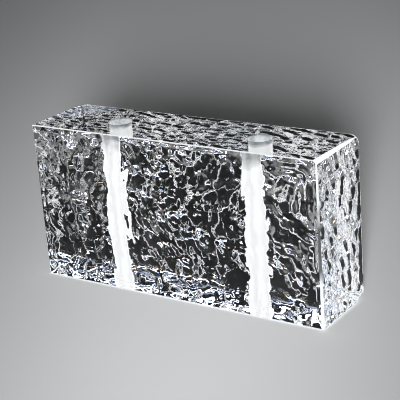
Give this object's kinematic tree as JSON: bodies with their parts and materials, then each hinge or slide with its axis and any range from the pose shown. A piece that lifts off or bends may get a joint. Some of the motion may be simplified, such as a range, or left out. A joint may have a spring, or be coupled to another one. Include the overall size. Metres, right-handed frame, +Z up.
{
  "type": "solid glass block",
  "caption": "Solid cast clear glass building block with hammered large faces and vertical rod bores, standing on its long narrow side.",
  "frame": {"origin": "on the bed face, under the middle of the block", "axes": "+X along the block's length, +Y through its thickness (the front face looks along -Y), +Z up from bed face to top face"},
  "size_m": [0.2, 0.05, 0.1],
  "materials": {
    "clear_glass": "colourless cast glass: large faces hammered in the mould and left bright, narrow sides polished flat, rod bores and one wide arris ground white"
  },
  "bodies": {
    "root": {"glass_block": "clear_glass"}
  },
  "joints": []
}
